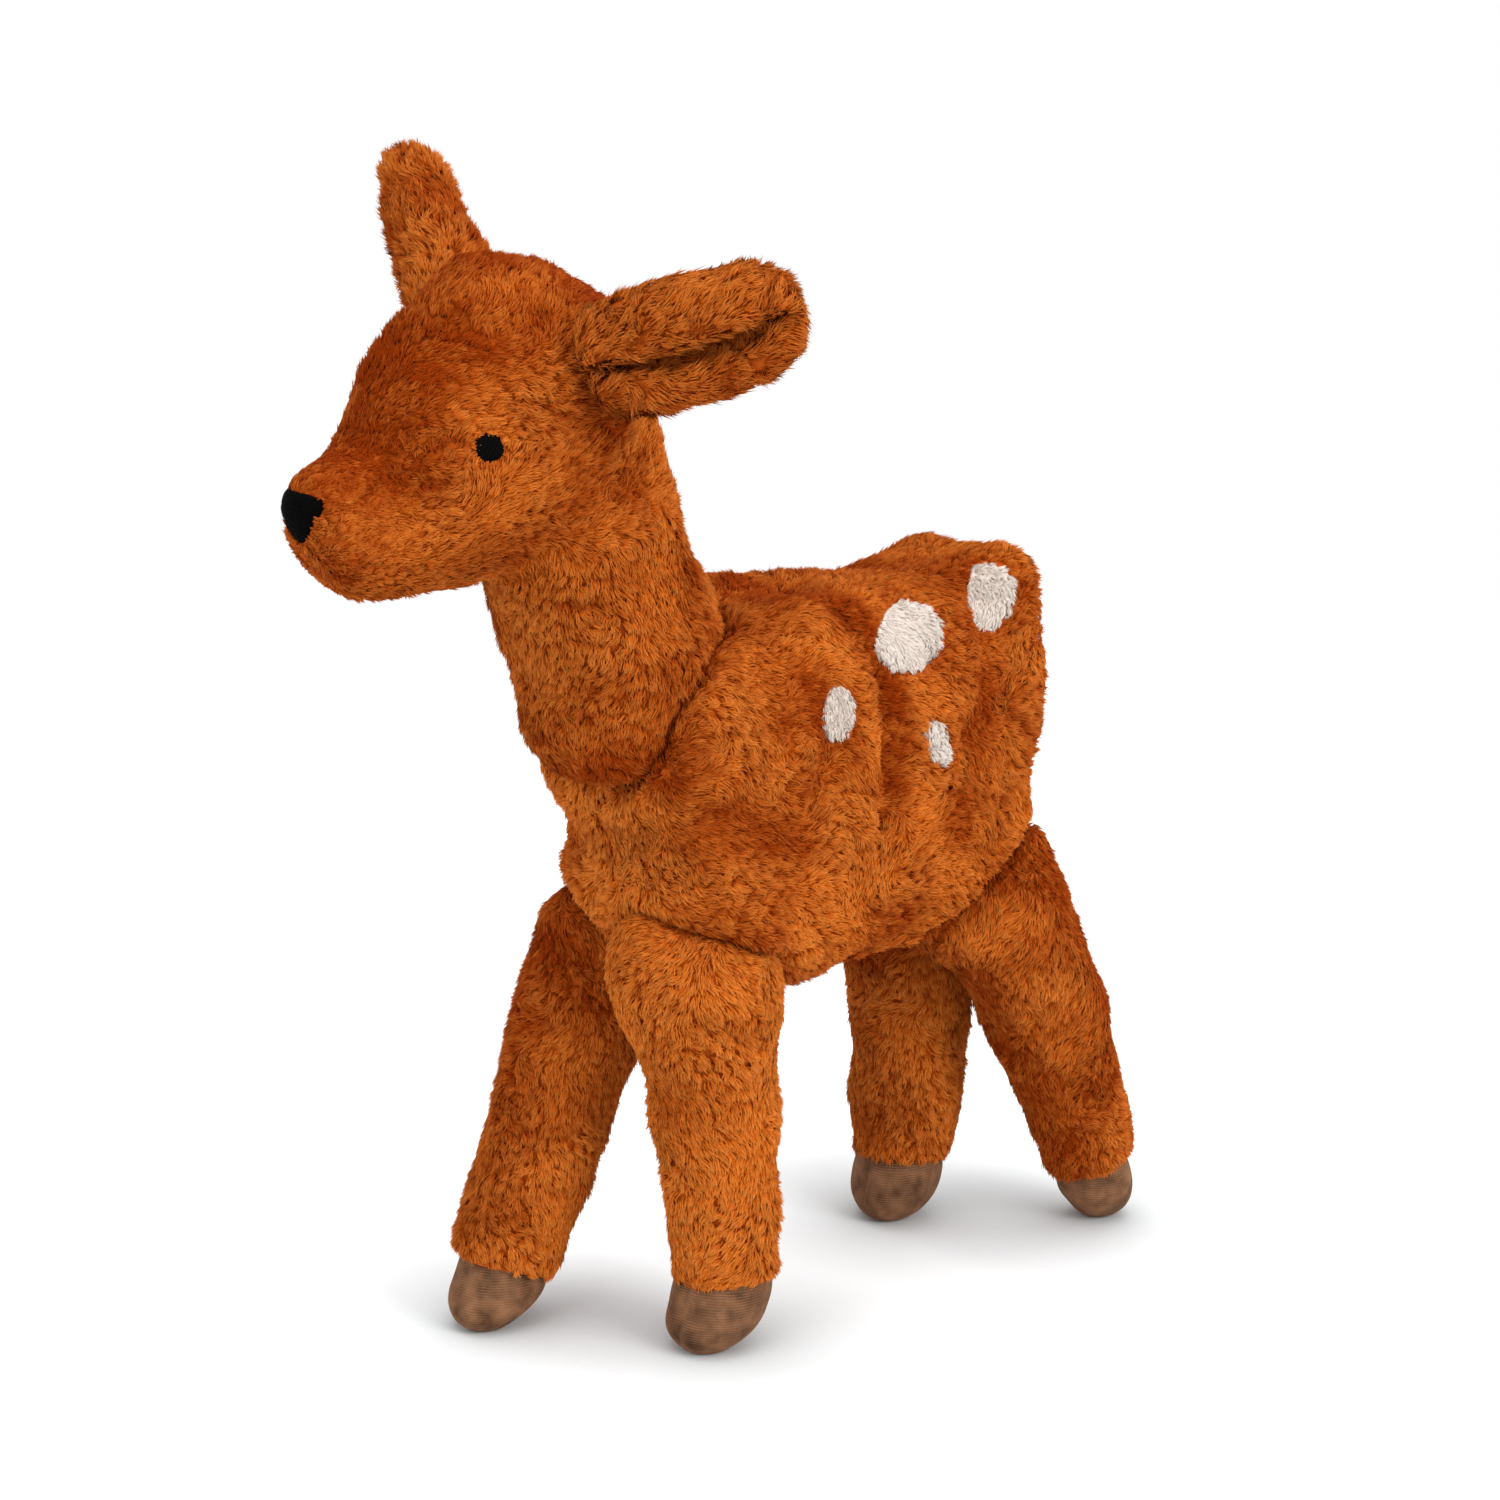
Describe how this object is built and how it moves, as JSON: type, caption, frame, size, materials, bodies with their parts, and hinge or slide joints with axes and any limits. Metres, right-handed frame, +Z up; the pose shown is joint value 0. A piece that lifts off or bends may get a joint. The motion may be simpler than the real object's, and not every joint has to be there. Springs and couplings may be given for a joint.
{
  "type": "plush warmer",
  "caption": "Standing plush fawn warmer: stuffed rust-orange body with white flank spots, and a belly pocket that holds a removable seed-filled heat pack.",
  "frame": {"origin": "on the floor, under the middle of the whole fawn's box", "axes": "+Z up; the fawn faces -Y; +X is the fawn's own left"},
  "size_m": [0.1909, 0.3202, 0.3783],
  "materials": {
    "plush": "matte",
    "stuffing": "matte",
    "velour": "matte",
    "white_plush": "matte",
    "eye_thread": "matte",
    "nose_felt": "matte",
    "cotton_lining": "matte",
    "pack_cloth": "matte",
    "seed": "matte",
    "closure_tape": "matte"
  },
  "bodies": {
    "torso": {"torso_cover": "plush", "torso_stuffing": "stuffing", "pocket_lining": "cotton_lining", "slot_loop_tape": "closure_tape", "shoulder_spot_left": "white_plush", "shoulder_spot_right": "white_plush", "saddle_spot_left": "white_plush", "saddle_spot_right": "white_plush", "rump_spot_left": "white_plush", "rump_spot_right": "white_plush", "flank_spot_left": "white_plush", "flank_spot_right": "white_plush"},
    "head": {"neck_cover": "plush", "head_cover": "plush", "head_stuffing": "stuffing", "eye_left": "eye_thread", "eye_right": "eye_thread", "nose": "nose_felt"},
    "left_ear": {"ear_left": "plush"},
    "right_ear": {"ear_right": "plush"},
    "tail": {"tail": "plush"},
    "heat_pack": {"pack_panel_left": "pack_cloth", "pack_panel_right": "pack_cloth", "pack_seed_filling": "seed"},
    "flap": {"belly_flap": "plush", "flap_hook_tape": "closure_tape"},
    "front_left_leg": {"front_left_leg_cover": "plush", "front_left_leg_stuffing": "stuffing", "front_left_leg_hoof": "velour"},
    "front_right_leg": {"front_right_leg_cover": "plush", "front_right_leg_stuffing": "stuffing", "front_right_leg_hoof": "velour"},
    "hind_left_leg": {"hind_left_leg_cover": "plush", "hind_left_leg_stuffing": "stuffing", "hind_left_leg_hoof": "velour"},
    "hind_right_leg": {"hind_right_leg_cover": "plush", "hind_right_leg_stuffing": "stuffing", "hind_right_leg_hoof": "velour"}
  },
  "joints": [
    {"name": "neck_nod", "type": "hinge", "parent": "torso", "child": "head", "pos_m": [0, -0.036, 0.221], "axis": [1, 0, 0], "range_deg": [-10, 10], "stiffness_Nm_per_rad": 2},
    {"name": "front_left_leg_swing", "type": "hinge", "parent": "torso", "child": "front_left_leg", "pos_m": [0.026, -0.025, 0.121], "axis": [1, 0, 0], "range_deg": [-12, 12], "stiffness_Nm_per_rad": 1.5},
    {"name": "front_right_leg_swing", "type": "hinge", "parent": "torso", "child": "front_right_leg", "pos_m": [-0.026, -0.025, 0.121], "axis": [1, 0, 0], "range_deg": [-12, 12], "stiffness_Nm_per_rad": 1.5},
    {"name": "hind_left_leg_swing", "type": "hinge", "parent": "torso", "child": "hind_left_leg", "pos_m": [0.026, 0.102, 0.121], "axis": [1, 0, 0], "range_deg": [-12, 12], "stiffness_Nm_per_rad": 1.5},
    {"name": "hind_right_leg_swing", "type": "hinge", "parent": "torso", "child": "hind_right_leg", "pos_m": [-0.026, 0.102, 0.121], "axis": [1, 0, 0], "range_deg": [-12, 12], "stiffness_Nm_per_rad": 1.5},
    {"name": "left_ear_flex", "type": "hinge", "parent": "head", "child": "left_ear", "pos_m": [0.035, -0.074, 0.332], "axis": [0, 0, 1], "range_deg": [-20, 15], "stiffness_Nm_per_rad": 0.05},
    {"name": "right_ear_flex", "type": "hinge", "parent": "head", "child": "right_ear", "pos_m": [-0.035, -0.074, 0.332], "axis": [0, 0, -1], "range_deg": [-20, 15], "stiffness_Nm_per_rad": 0.05},
    {"name": "tail_lift", "type": "hinge", "parent": "torso", "child": "tail", "pos_m": [0, 0.118, 0.207], "axis": [1, 0, 0], "range_deg": [0, 50], "stiffness_Nm_per_rad": 0.01},
    {"name": "pack_slide", "type": "slide", "parent": "torso", "child": "heat_pack", "axis": [0, 0, -1], "range_m": [0, 0.09]},
    {"name": "flap_hinge", "type": "hinge", "parent": "torso", "child": "flap", "pos_m": [0.022, 0.038, 0.1187], "axis": [0, 1, 0], "range_deg": [-175.5, 0]}
  ],
  "couplings": [
    {"joint": "flap_hinge", "follows": "pack_slide", "rad_per_m": -34}
  ]
}
